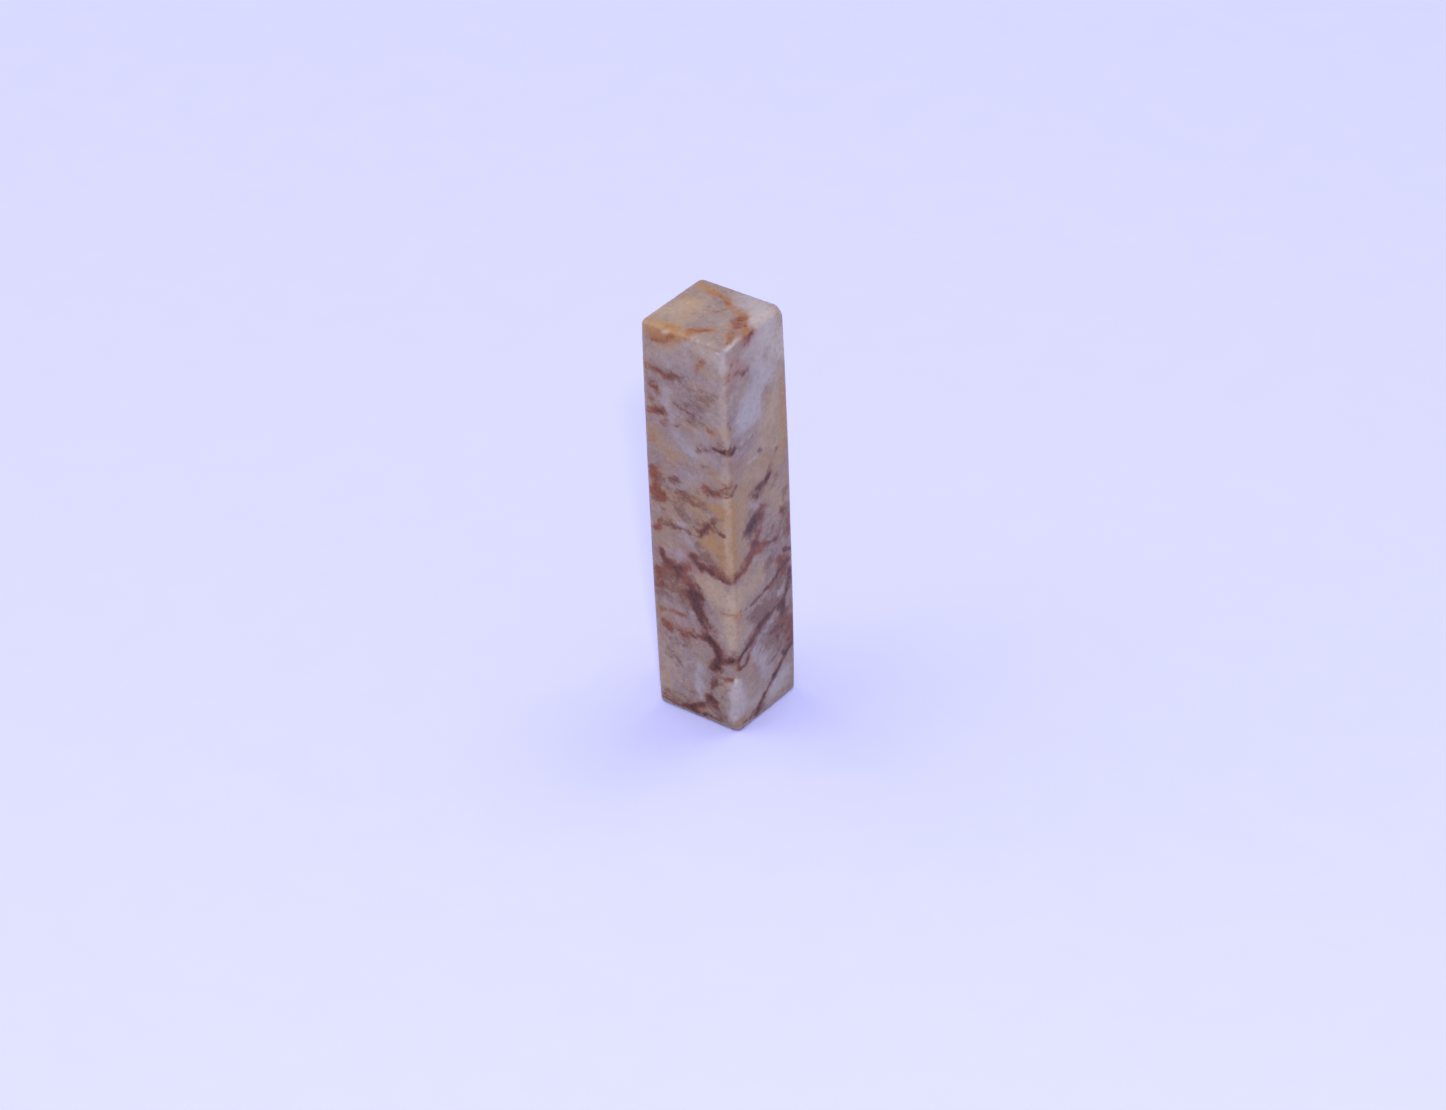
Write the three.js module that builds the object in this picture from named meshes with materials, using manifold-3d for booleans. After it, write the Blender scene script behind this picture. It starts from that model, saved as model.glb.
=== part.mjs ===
// A seal stamp cut from one piece of veined soft stone: a tall, nearly square column with a flat top,
// sides that swell a little from hand lapping, edges worn round, and a relief carved into its foot.
// Millimetres, +Z up. The column stands on its carved face, with the origin at the middle of that face.
// -Y is the front, the broad side left of the near edge in the usual view, and +X is the right side.

import * as THREE from "three";
import { mergeVertices } from "three/addons/utils/BufferGeometryUtils.js";
import Module from "manifold-3d";

const wasm = await Module();
wasm.setup();

// The column
const width = 12; // X, at the middle of the height
const depth = 11.7; // Y, at the middle of the height
const height = 51.5;
const belly = 0.15; // how far each side stands proud at mid-height of where it ends
const uprightEdgeRadius = 0.95;
const topEdgeRadius = 0.8;
const footEdgeRadius = 0.55;

// The carved face: a raised frame round four mirrored square spirals
const carvingDepth = 0.8;
const frameWidth = 0.75; // the raised land inside the rounded foot edge
const spiralSide = 5; // each spiral is this many line widths square
const gapsAcross = 3; // one beside the frame, one between the spirals, one beside the frame again

// Wear at the top: a chip off the right back corner and two nicks in the right edge
const chipWidth = 2.6;
const chipDepth = 0.45; // how far it bites into the rounded corner
const nickWidth = 0.7;
const nickDepth = 0.12;
const nickPlaces = [0.55, 0.78]; // along the right top edge, from the front corner to the back one

// How finely the round parts are cut
const cornerSteps = 8;
const edgeSteps = 6;
const bellySteps = 14;
const flakeDetail = 2;

const stone = new THREE.MeshStandardMaterial({ color: 0xa3918c, roughness: 0.32, metalness: 0 });

// How far the side has drawn in at a height, from nothing at mid-height to the whole belly at the ends.
function drawnIn(z) {
  return belly * Math.abs((2 * z) / height - 1) ** 3;
}

// One closed ring of points: a rectangle with round corners, set in from the column's full size.
function ring(z, inset) {
  const halfX = width / 2 - drawnIn(z) - inset;
  const halfY = depth / 2 - drawnIn(z) - inset;
  const radius = Math.max(uprightEdgeRadius - inset, uprightEdgeRadius / 20);
  const points = [];
  for (let corner = 0; corner < 4; corner++) {
    const centreX = (corner === 0 || corner === 3 ? 1 : -1) * (halfX - radius);
    const centreY = (corner < 2 ? 1 : -1) * (halfY - radius);
    for (let step = 0; step <= cornerSteps; step++) {
      const angle = ((corner + step / cornerSteps) * Math.PI) / 2;
      points.push([centreX + radius * Math.cos(angle), centreY + radius * Math.sin(angle), z]);
    }
  }
  return points;
}

// The rings from the foot to the top: the foot's rounding, the swelling side, the top's rounding.
function rings() {
  const all = [];
  for (let step = 0; step < edgeSteps; step++) {
    const angle = ((step / edgeSteps) * Math.PI) / 2;
    all.push(ring(footEdgeRadius * (1 - Math.cos(angle)), footEdgeRadius * (1 - Math.sin(angle))));
  }
  const straight = height - footEdgeRadius - topEdgeRadius;
  for (let step = 0; step < bellySteps; step++) {
    all.push(ring(footEdgeRadius + (straight * step) / bellySteps, 0));
  }
  for (let step = 0; step <= edgeSteps; step++) {
    const angle = ((step / edgeSteps) * Math.PI) / 2;
    const below = topEdgeRadius * (1 - Math.sin(angle));
    all.push(ring(height - below, topEdgeRadius * (1 - Math.cos(angle))));
  }
  return all;
}

// Skins the rings into one closed surface, with a flat fan over the foot and the top.
function columnGeometry() {
  const all = rings();
  const around = all[0].length;
  const points = all.flat();
  const faces = [];
  for (let level = 0; level < all.length - 1; level++) {
    for (let i = 0; i < around; i++) {
      const a = level * around + i;
      const b = level * around + ((i + 1) % around);
      faces.push(a, b, b + around, a, b + around, a + around);
    }
  }
  const foot = points.push([0, 0, 0]) - 1;
  const top = points.push([0, 0, height]) - 1;
  const last = (all.length - 1) * around;
  for (let i = 0; i < around; i++) {
    const next = (i + 1) % around;
    faces.push(foot, next, i);
    faces.push(top, last + i, last + next);
  }
  const geometry = new THREE.BufferGeometry();
  geometry.setAttribute("position", new THREE.Float32BufferAttribute(points.flat(), 3));
  geometry.setIndex(faces);
  return geometry;
}

// A closed geometry as a solid that can be cut and joined.
function solid(geometry) {
  const bare = geometry.clone();
  bare.deleteAttribute("normal");
  bare.deleteAttribute("uv");
  const merged = mergeVertices(bare, 1e-4);
  return new wasm.Manifold(
    new wasm.Mesh({
      numProp: 3,
      vertProperties: merged.attributes.position.array,
      triVerts: new Uint32Array(merged.index.array),
    }),
  );
}

// A solid back as a geometry, with flat shaded faces.
function geometryOf(shape) {
  const mesh = shape.getMesh();
  const geometry = new THREE.BufferGeometry();
  geometry.setAttribute("position", new THREE.BufferAttribute(mesh.vertProperties, mesh.numProp));
  geometry.setIndex(new THREE.BufferAttribute(mesh.triVerts, 1));
  const flat = geometry.toNonIndexed();
  flat.computeVertexNormals();
  return flat;
}

// A block between two corners.
function block(low, high) {
  const size = high.map((value, axis) => value - low[axis]);
  const middle = high.map((value, axis) => (value + low[axis]) / 2);
  return solid(new THREE.BoxGeometry(...size).translate(...middle));
}

// The square spiral, as runs of raised line in line widths from its outer corner: [x0, y0, x1, y1].
function spiralRuns(side) {
  const runs = [];
  let low = 0;
  let high = side;
  while (high - low >= 3) {
    runs.push([low, low, low + 1, high]);
    runs.push([low, high - 1, high, high]);
    runs.push([high - 1, low + 1, high, high]);
    runs.push([low + 2, low + 1, high, low + 2]);
    low += 2;
    high -= 2;
  }
  runs.push([low, low - 1, low + 1, high]);
  return runs;
}

// The stone that the knife takes away: the field inside the frame, less the raised spirals.
function carvedGround() {
  const land = footEdgeRadius + drawnIn(0) + frameWidth;
  const halfX = width / 2 - land;
  const halfY = depth / 2 - land;
  const linesAcross = 2 * spiralSide + gapsAcross;
  const lineX = (2 * halfX) / linesAcross;
  const lineY = (2 * halfY) / linesAcross;
  let ground = block([-halfX, -halfY, -carvingDepth], [halfX, halfY, carvingDepth]);
  for (const signX of [-1, 1]) {
    for (const signY of [-1, 1]) {
      for (const [x0, y0, x1, y1] of spiralRuns(spiralSide)) {
        const xs = [x0, x1].map((x) => signX * (halfX - (1 + x) * lineX));
        const ys = [y0, y1].map((y) => signY * (halfY - (1 + y) * lineY));
        const low = [Math.min(...xs), Math.min(...ys), -2 * carvingDepth];
        const high = [Math.max(...xs), Math.max(...ys), 2 * carvingDepth];
        ground = ground.subtract(block(low, high));
      }
    }
  }
  return ground;
}

// A shallow shell-shaped flake, as soft stone loses it: a few-faced ball pressed into the edge.
function flake(place, across, bite, outward) {
  const radius = (across * across) / (8 * bite) + bite / 2;
  const centre = place.clone().addScaledVector(outward, radius - bite);
  return solid(new THREE.IcosahedronGeometry(radius, flakeDetail).translate(...centre));
}

// The middle of a rounded corner or edge of the top, where a flake starts, and the way it faces.
function topWear() {
  const cuts = [];
  const halfX = width / 2 - drawnIn(height);
  const halfY = depth / 2 - drawnIn(height);
  const turned = 1 - Math.SQRT1_2;
  const cornerOut = new THREE.Vector3(1, 1, 1).normalize();
  const cornerPlace = new THREE.Vector3(
    halfX - uprightEdgeRadius * turned - topEdgeRadius * turned * Math.SQRT1_2,
    halfY - uprightEdgeRadius * turned - topEdgeRadius * turned * Math.SQRT1_2,
    height - topEdgeRadius * turned,
  );
  cuts.push(flake(cornerPlace, chipWidth, chipDepth, cornerOut));
  const edgeOut = new THREE.Vector3(1, 0, 1).normalize();
  for (const share of nickPlaces) {
    const place = new THREE.Vector3(
      halfX - topEdgeRadius * turned,
      -halfY + 2 * halfY * share,
      height - topEdgeRadius * turned,
    );
    cuts.push(flake(place, nickWidth, nickDepth, edgeOut));
  }
  return cuts;
}

function sealStone() {
  let shape = solid(columnGeometry()).subtract(carvedGround());
  for (const cut of topWear()) {
    shape = shape.subtract(cut);
  }
  const mesh = new THREE.Mesh(geometryOf(shape), stone);
  mesh.name = "seal_stone";
  return mesh;
}

const sealStamp = new THREE.Group();
sealStamp.add(sealStone());

export default sealStamp;
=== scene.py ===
# A seal stamp cut from one block of veined soft stone, standing on its carved foot.

import math
import bpy
import numpy as np
from mathutils import Matrix, Vector


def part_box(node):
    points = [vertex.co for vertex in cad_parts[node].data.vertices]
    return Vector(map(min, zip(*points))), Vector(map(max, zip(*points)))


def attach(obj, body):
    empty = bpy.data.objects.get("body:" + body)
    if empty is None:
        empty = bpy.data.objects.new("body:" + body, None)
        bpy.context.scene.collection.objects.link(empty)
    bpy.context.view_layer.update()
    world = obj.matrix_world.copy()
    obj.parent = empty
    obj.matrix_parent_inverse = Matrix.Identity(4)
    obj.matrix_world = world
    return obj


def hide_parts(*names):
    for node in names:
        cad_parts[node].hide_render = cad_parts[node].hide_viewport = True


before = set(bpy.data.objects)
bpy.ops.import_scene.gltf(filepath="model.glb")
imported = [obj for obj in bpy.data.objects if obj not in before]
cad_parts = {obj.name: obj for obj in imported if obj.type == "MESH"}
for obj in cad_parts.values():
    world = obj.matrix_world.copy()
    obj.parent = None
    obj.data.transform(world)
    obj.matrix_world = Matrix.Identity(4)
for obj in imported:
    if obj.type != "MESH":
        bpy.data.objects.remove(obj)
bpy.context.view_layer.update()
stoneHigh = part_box("seal_stone")[1]
mm = 0.001  # shapes are worked out in millimetres and turned into metres when a mesh is made
halfX = stoneHigh.x / mm
halfY = stoneHigh.y / mm
height = stoneHigh.z / mm
print("frame loaded:", halfX * 2, halfY * 2, height)


# Numbers over many points at once

def smoothStep(low, high, value):
    # From 0 at low to 1 at high, along 3t^2 - 2t^3.
    t = np.clip((value - low) / (high - low), 0, 1)
    return t * t * (3 - 2 * t)


def cloud(points, size, seed, octaves=3):
    # Value noise, about -1 to 1: random numbers on a lattice of the given cell size, blended between the
    # eight corners of the cell round a point. Each octave has half the cell and half the weight.
    dice = np.random.default_rng(seed)
    total = np.zeros(len(points))
    for octave in range(octaves):
        lattice = dice.uniform(-1, 1, (32, 32, 32))
        place = points / size * 2 ** octave
        cell = np.floor(place).astype(int)
        share = place - cell
        share = share * share * (3 - 2 * share)
        for corner in np.ndindex(2, 2, 2):
            weight = np.prod(np.where(np.array(corner, bool), share, 1 - share), axis=1)
            total += weight * lattice[tuple((cell + corner).T % 32)] / 2 ** octave
    return total


def vertexNormals(points, faces):
    # The cross product of each face's diagonals, summed at its four corners and brought to length 1.
    diagonals = points[faces[:, 2]] - points[faces[:, 0]], points[faces[:, 3]] - points[faces[:, 1]]
    across = np.repeat(np.cross(*diagonals), 4, axis=0)
    total = [np.bincount(faces.ravel(), across[:, axis], len(points)) for axis in range(3)]
    total = np.stack(total, axis=1)
    return total / np.linalg.norm(total, axis=1, keepdims=True)


# The stone's shape

stoneShape = {
    "belly": 0.15,         # how far a side stands proud at mid-height, mm
    "uprightEdge": 0.95,   # radius of the upright edges
    "topEdge": 0.8,
    "footEdge": 0.55,
    "carvingDepth": 0.8,
    "frameWidth": 0.75,    # land round the carving
    "spiralSide": 5,       # in line widths
    "gapsAcross": 3,
    "wallSlope": 0.05,     # half the run of a carved wall
    "knifeWobble": 0.045,  # how far a carved line strays
    "edgeCells": 10,       # round one upright edge
    "sideRows": 278,
    "footRows": 7,
    "topRows": 9,
    "lapping": 0.035,      # depth of the waves that hand lapping leaves
    "lappingSize": 4.5,
    "knifeSize": 1.3,      # how quickly a carved line strays
    "ground": 0.06,        # roughness of the sunk ground
    "groundSize": 0.45,
    "seed": 21,
}

wear = {
    "chip": (2.6, 0.45),   # across and bite of the flake off the right back corner, mm
    "nick": (0.6, 0.1),    # the two in the right top edge
    "nickPlaces": (0.55, 0.78),
    "ripple": 0.03,        # waves in the broken face of the chip
    "smallNicks": 45,
    "smallAcross": (0.25, 0.7),
    "smallBite": 0.16,     # share of the width
    "smallReach": 0.9,     # share of an edge over which they lie
    "seed": 12,
}

linesAcross = 2 * stoneShape["spiralSide"] + stoneShape["gapsAcross"]
sideCells = 5 * linesAcross + 3  # one side of the foot's grid, with its lines gathered at the carved walls


def drawnIn(z):
    # How far a side has drawn in at a height: belly times the cube of the distance from mid-height.
    return stoneShape["belly"] * np.abs(2 * z / height - 1) ** 3


land = stoneShape["footEdge"] + drawnIn(0) + stoneShape["frameWidth"]
fieldX = halfX - land  # half of the carved field
fieldY = halfY - land


def aroundColumn():
    # Steps round the column, counterclockwise from the middle of the front left edge. Along a side the
    # place runs from -1 to 1 and the facing stands still. Round an edge the place stands still and the
    # facing turns.
    half = stoneShape["edgeCells"] // 2
    step = np.arange(sideCells)
    along = 2 * np.clip((step - half) / (sideCells - 2 * half), 0, 1) - 1
    turn = np.clip(step / half, 0, 1) - 1 + np.clip((step - sideCells + half) / half, 0, 1)
    angle = math.radians(270) + turn * math.radians(45)
    place = np.stack([along, -np.ones(sideCells)], axis=1)
    facing = np.stack([np.cos(angle), np.sin(angle)], axis=1)
    quarter = np.array([[0, 1], [-1, 0]])
    turns = [np.linalg.matrix_power(quarter, side) for side in range(4)]
    return np.concatenate([place @ t for t in turns]), np.concatenate([facing @ t for t in turns])


def columnRings():
    # Quarter arcs for the foot's and the top's rounding, with even steps between them. Each ring is a
    # rectangle with round corners, set in by what the belly and the arc take at its height.
    def quarterArc(rows):
        return np.arange(rows) / rows * math.pi / 2
    foot, top = stoneShape["footEdge"], stoneShape["topEdge"]
    low = quarterArc(stoneShape["footRows"])
    high = quarterArc(stoneShape["topRows"] + 1) * (stoneShape["topRows"] + 1) / stoneShape["topRows"]
    middle = foot + (height - foot - top) * np.arange(stoneShape["sideRows"]) / stoneShape["sideRows"]
    z = np.concatenate([foot * (1 - np.cos(low)), middle, height - top * (1 - np.sin(high))])[:, None]
    inset = np.concatenate([foot * (1 - np.sin(low)), middle * 0, top * (1 - np.cos(high))])[:, None]
    place, facing = aroundColumn()
    radius = np.maximum(stoneShape["uprightEdge"] - inset, stoneShape["uprightEdge"] / 20)
    x = place[:, 0] * (halfX - drawnIn(z) - inset - radius) + radius * facing[:, 0]
    y = place[:, 1] * (halfY - drawnIn(z) - inset - radius) + radius * facing[:, 1]
    return np.stack([x, y, z + x * 0], axis=2)


def fretLines(half):
    # Grid lines across the carved field: four on the slope of each wall, one in the middle of each line.
    wall = stoneShape["wallSlope"]
    bounds = np.linspace(-half, half, linesAcross + 1)
    slope = (bounds[:, None] + np.array([-wall, -wall / 3, wall / 3, wall])).ravel()
    return np.sort(np.concatenate([slope, (bounds[1:] + bounds[:-1]) / 2]))


def spiralRuns(side):
    # A square spiral as runs of raised line, in line widths from its outer corner: x0, y0, x1, y1.
    runs = []
    low, high = 0, side
    while high - low >= 3:
        runs.append((low, low, low + 1, high))
        runs.append((low, high - 1, high, high))
        runs.append((high - 1, low + 1, high, high))
        runs.append((low + 2, low + 1, high, low + 2))
        low, high = low + 2, high - 2
    runs.append((low, low - 1, low + 1, high))
    return runs


def carvedHeight(x, y):
    # How far a point lies inside the raised frame or the nearest raised run decides its height: 0 on them,
    # the whole depth between them, and a steep wall in the step from one to the other.
    inside = np.maximum(np.abs(x) - fieldX, np.abs(y) - fieldY)
    lineX, lineY = 2 * fieldX / linesAcross, 2 * fieldY / linesAcross
    fromX, fromY = (fieldX - np.abs(x)) / lineX - 1, (fieldY - np.abs(y)) / lineY - 1
    for x0, y0, x1, y1 in spiralRuns(stoneShape["spiralSide"]):
        runX = np.minimum(fromX - x0, x1 - fromX) * lineX
        runY = np.minimum(fromY - y0, y1 - fromY) * lineY
        inside = np.maximum(inside, np.minimum(runX, runY))
    wall = stoneShape["wallSlope"]
    return stoneShape["carvingDepth"] * np.clip((wall - inside) / (2 * wall), 0, 1)


def capPoints(border):
    # A Coons patch: blends the four sides of a closed border into a grid across it.
    cells = len(border) // 4
    closed = np.concatenate([border, border[:1]])
    front, right, back, left = [closed[side * cells:(side + 1) * cells + 1] for side in range(4)]
    back, left = back[::-1], left[::-1]
    u = np.linspace(0, 1, cells + 1)[None, :, None]
    v = np.linspace(0, 1, cells + 1)[:, None, None]
    blend = (1 - v) * front[None] + v * back[None] + (1 - u) * left[:, None] + u * right[:, None]
    corners = (1 - u) * (1 - v) * front[0] + u * (1 - v) * front[-1]
    return blend - corners - (1 - u) * v * back[0] - u * v * back[-1]


def gridFaces(rows, columns, first):
    # Four neighbours in a grid of points make a face.
    corner = first + np.arange(rows - 1)[:, None] * columns + np.arange(columns - 1)
    return np.stack([corner, corner + 1, corner + columns + 1, corner + columns], axis=2).reshape(-1, 4)


def closedStone():
    # The side with its land as one tube, the top as a cap and the carved field as a height over a grid,
    # joined where their border points are the same.
    rings = columnRings()
    x, y = np.meshgrid(fretLines(fieldX), fretLines(fieldY))
    field = np.stack([x, y, carvedHeight(x, y)], axis=2)
    border = np.concatenate([field[0, :-1], field[:-1, -1], field[-1, :0:-1], field[:0:-1, 0]])
    shares = np.array([0, 1 / 3, 2 / 3])[:, None, None]
    tube = np.concatenate([border * (1 - shares) + rings[0] * shares, rings])
    tube = np.concatenate([tube, tube[:, :1]], axis=1)
    patches = [tube, capPoints(rings[-1]), field]
    faces = []
    first = 0
    for patch in patches:
        faces.append(gridFaces(*patch.shape[:2], first))
        first += patch.shape[0] * patch.shape[1]
    faces[2] = faces[2][:, ::-1]
    points = np.concatenate([patch.reshape(-1, 3) for patch in patches])
    joined, number = np.unique(np.round(points, 6), axis=0, return_inverse=True)
    return joined, number.reshape(-1)[np.concatenate(faces)]


def pressFlake(points, place, across, bite, outward, ripple=0.0):
    # A ball pressed into the stone: a point inside it slides back, against the outward direction, to the
    # ball's far side. Its radius is across^2 / 8 bite + bite / 2, and it ripples as shell-shaped breaks do.
    outward = np.array(outward, float)
    outward /= np.linalg.norm(outward)
    radius = across ** 2 / (8 * bite) + bite / 2
    offset = points - (np.array(place) + outward * (radius - bite))
    along = offset @ outward
    inside = radius ** 2 - np.sum(offset ** 2, axis=1)
    slide = np.where(inside > 0, along + np.sqrt(np.maximum(along ** 2 + inside, 0)), 0)
    wave = ripple * np.sin(np.linalg.norm(points - place, axis=1) * 9) * smoothStep(0, bite, slide)
    return points - (slide + wave)[:, None] * outward, slide


def wornStone(points, faces):
    # The knife strays a little along each line, the ground between the lines is rough, hand lapping leaves
    # broad shallow waves, longer up the stone than across it, and edges lose flakes. Each is a noise times
    # its depth, faded in where it belongs.
    shape = stoneShape
    normals = vertexNormals(points, faces)
    strayX = cloud(points, shape["knifeSize"], shape["seed"], 2) * shape["knifeWobble"]
    strayY = cloud(points, shape["knifeSize"], shape["seed"] + 1, 2) * shape["knifeWobble"]
    inField = np.minimum(fieldX - np.abs(points[:, 0]), fieldY - np.abs(points[:, 1]))
    carved = smoothStep(-0.1, 0.5, inField) * (points[:, 2] < shape["carvingDepth"] + 0.01)
    onGround = carved * smoothStep(0.9, 1, points[:, 2] / shape["carvingDepth"])
    rough = cloud(points, shape["groundSize"], shape["seed"] + 2, 2) * shape["ground"] * onGround
    points = points + np.stack([strayX * carved, strayY * carved, rough], axis=1)
    waves = 0.5 + 0.5 * cloud(points * [1, 1, 0.45], shape["lappingSize"], shape["seed"] + 3, 2)
    onSide = smoothStep(0.4, 0.9, 1 - np.abs(normals[:, 2]))
    points = points - normals * (shape["lapping"] * np.clip(waves, 0, None) * onSide)[:, None]
    bruiseAndGlint = np.zeros(len(points))
    for place, across, bite, outward, ripple in flakePlaces():
        points, slide = pressFlake(points, place, across, bite, outward, ripple)
        bruiseAndGlint = np.maximum(bruiseAndGlint, smoothStep(0, 0.6 * bite, slide))
    return points, bruiseAndGlint


def flakePlaces():
    # The chip on the right back corner, the two nicks beside it, then small nicks strewn along every edge.
    # Of five small nicks, three lie on upright edges, one on a top edge and one at the foot. The middle of
    # a rounded edge lies its radius times 1 - sqrt(1/2) inside the sharp edge.
    reachX, reachY = halfX - drawnIn(height), halfY - drawnIn(height)
    edge, top = stoneShape["uprightEdge"], stoneShape["topEdge"]
    turned = 1 - math.sqrt(0.5)
    back = edge * turned + top * turned * math.sqrt(0.5)
    corner = (reachX - back, reachY - back, height - top * turned)
    yield corner, *wear["chip"], (1, 1, 1), wear["ripple"]
    for share in wear["nickPlaces"]:
        place = (reachX - top * turned, -reachY + 2 * reachY * share, height - top * turned)
        yield place, *wear["nick"], (1, 0, 1), 0.0
    dice = np.random.default_rng(wear["seed"])
    for nick in range(wear["smallNicks"]):
        across = dice.uniform(*wear["smallAcross"])
        signX, signY = dice.choice([-1, 1], 2)
        share = dice.uniform(-wear["smallReach"], wear["smallReach"])
        kind = nick % 5
        if kind < 3:
            z = height / 2 * (1 + share)
            back = drawnIn(z) + edge * turned
            place, outward = (signX * (halfX - back), signY * (halfY - back), z), (signX, signY, 0.25)
        else:
            z = top * turned if kind == 4 else height - top * turned
            back = drawnIn(z) + top * turned
            up = -1 if kind == 4 else 1
            if signY > 0:
                place, outward = (signX * (halfX - back), share * halfY, z), (signX, 0, up)
            else:
                place, outward = (share * halfX, signX * (halfY - back), z), (0, signX, up)
        yield place, across, across * wear["smallBite"], outward, 0.0


points, faces = closedStone()
points, bruiseAndGlint = wornStone(points, faces)
normals = vertexNormals(points, faces)
print("stone shaped:", len(points), "points,", 2 * len(faces), "triangles")


# The veins

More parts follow.
